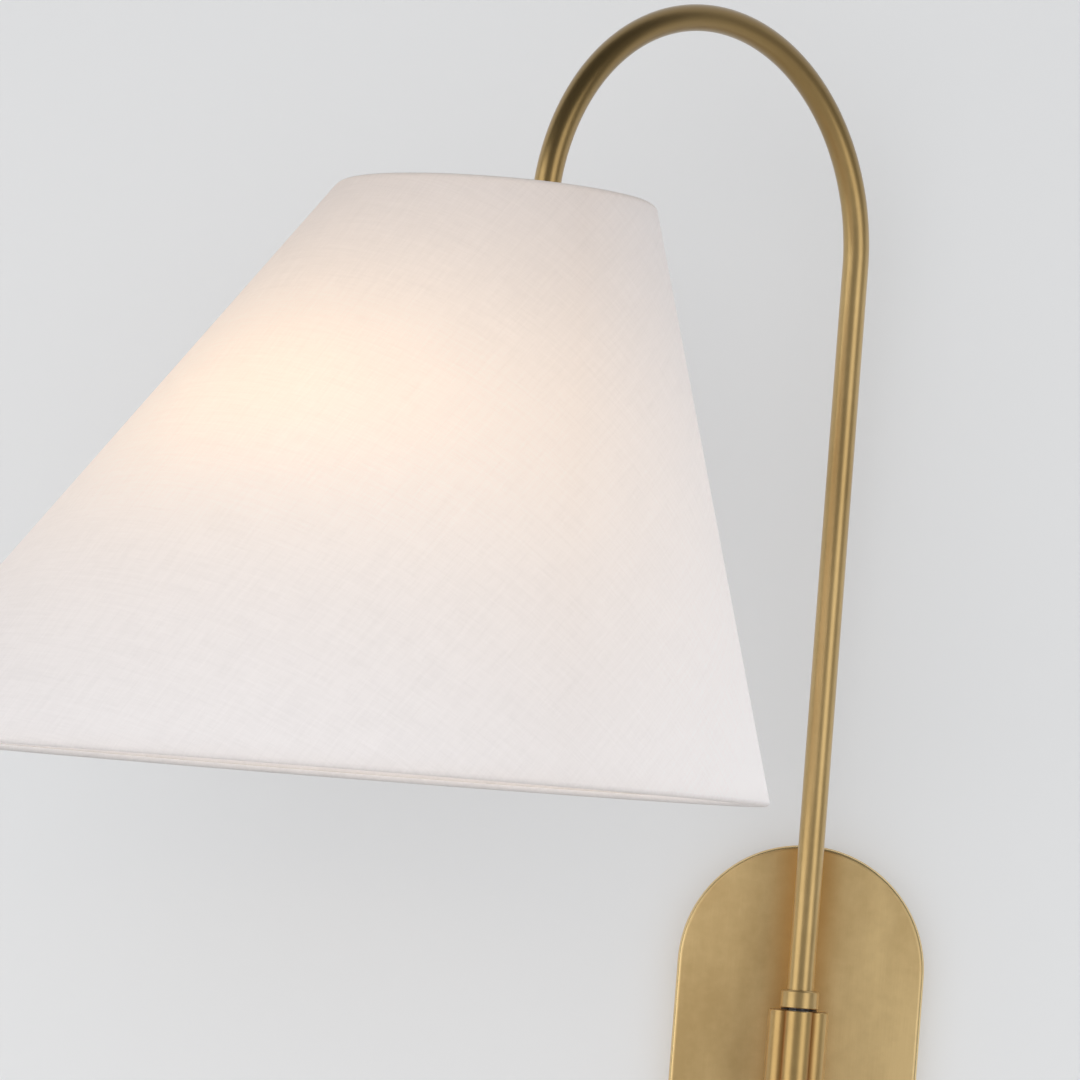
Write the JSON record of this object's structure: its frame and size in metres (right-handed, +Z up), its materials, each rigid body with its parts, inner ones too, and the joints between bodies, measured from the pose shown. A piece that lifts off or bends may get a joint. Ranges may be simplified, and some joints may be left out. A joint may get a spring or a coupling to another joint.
{
  "type": "swing arm wall sconce",
  "caption": "Wall sconce with a stadium brass back plate, a reeded pivot column, a gooseneck tube that swings sideways, and a slanted white linen cone shade.",
  "frame": {"origin": "middle of the mounting strap's back face, on the wall", "axes": "+Z up, +Y into the wall, +X to the right as seen from the room"},
  "size_m": [0.4705, 0.4566, 0.6127],
  "materials": {
    "burnished_brass": "satin burnished brass, fine brushing",
    "plain_brass": "bare stamped brass",
    "zinc_steel": "zinc plated",
    "nickel": "nickel plated screw shell",
    "green_steel": "green earth screw",
    "white_steel": "white powder coated wire",
    "white_linen": "white linen on a hard back, lets light through",
    "linen_seam": "glued overlap of the linen",
    "black_nylon": "black nylon",
    "porcelain": "glazed porcelain",
    "frosted_glass": "white frosted, lit",
    "lamp_core": "light source in the bulb",
    "black_insulation": "wire insulation",
    "white_insulation": "wire insulation",
    "green_insulation": "wire insulation",
    "gold_insulation": "clear gold lamp lead",
    "orange_plastic": "twist-on connector"
  },
  "bodies": {
    "wall_mount": {"plate_cover": "burnished_brass", "mounting_strap": "zinc_steel", "cover_screw_left": "burnished_brass", "cover_screw_right": "burnished_brass", "ground_screw": "green_steel", "reeded_column": "burnished_brass", "column_spacer": "burnished_brass", "hollow_nipple": "zinc_steel", "plate_nut": "zinc_steel", "upper_bush": "black_nylon", "lower_bush": "black_nylon", "stop_pin": "zinc_steel", "switch_body": "black_nylon", "column_end_cap": "burnished_brass", "live_lead": "black_insulation", "neutral_lead": "white_insulation", "ground_lead": "green_insulation", "wire_nut_live": "orange_plastic", "wire_nut_neutral": "orange_plastic"},
    "arm": {"swivel_washer": "black_nylon", "swivel_collar": "burnished_brass", "pivot_spindle": "zinc_steel", "stop_ring": "zinc_steel", "friction_washer": "zinc_steel", "pivot_nut": "zinc_steel", "arm_tube": "burnished_brass", "lamp_lead": "gold_insulation", "fitter_seat": "burnished_brass", "fitter_nut": "burnished_brass", "shade_spider": "white_steel", "shade_top_ring": "white_steel", "shade_bottom_ring": "white_steel", "shade_fabric": "white_linen", "shade_seam": "linen_seam", "socket_neck": "burnished_brass", "socket_cap": "burnished_brass", "socket_shell": "burnished_brass", "socket_insulator": "porcelain", "socket_thread": "plain_brass", "centre_contact": "plain_brass", "bulb_base": "nickel", "bulb_glass": "frosted_glass", "bulb_stem": "lamp_core"},
    "switch": {"switch_knob": "burnished_brass", "switch_shaft": "zinc_steel", "knob_set_screw": "zinc_steel"}
  },
  "joints": [
    {"name": "arm_swing", "type": "hinge", "parent": "wall_mount", "child": "arm", "pos_m": [0, -0.045, 0], "axis": [0, 0, 1], "range_deg": [-10, 100]},
    {"name": "switch_turn", "type": "hinge", "parent": "wall_mount", "child": "switch", "pos_m": [0, -0.045, -0.05], "axis": [0, 0, 1], "range_deg": [0, 270]}
  ]
}
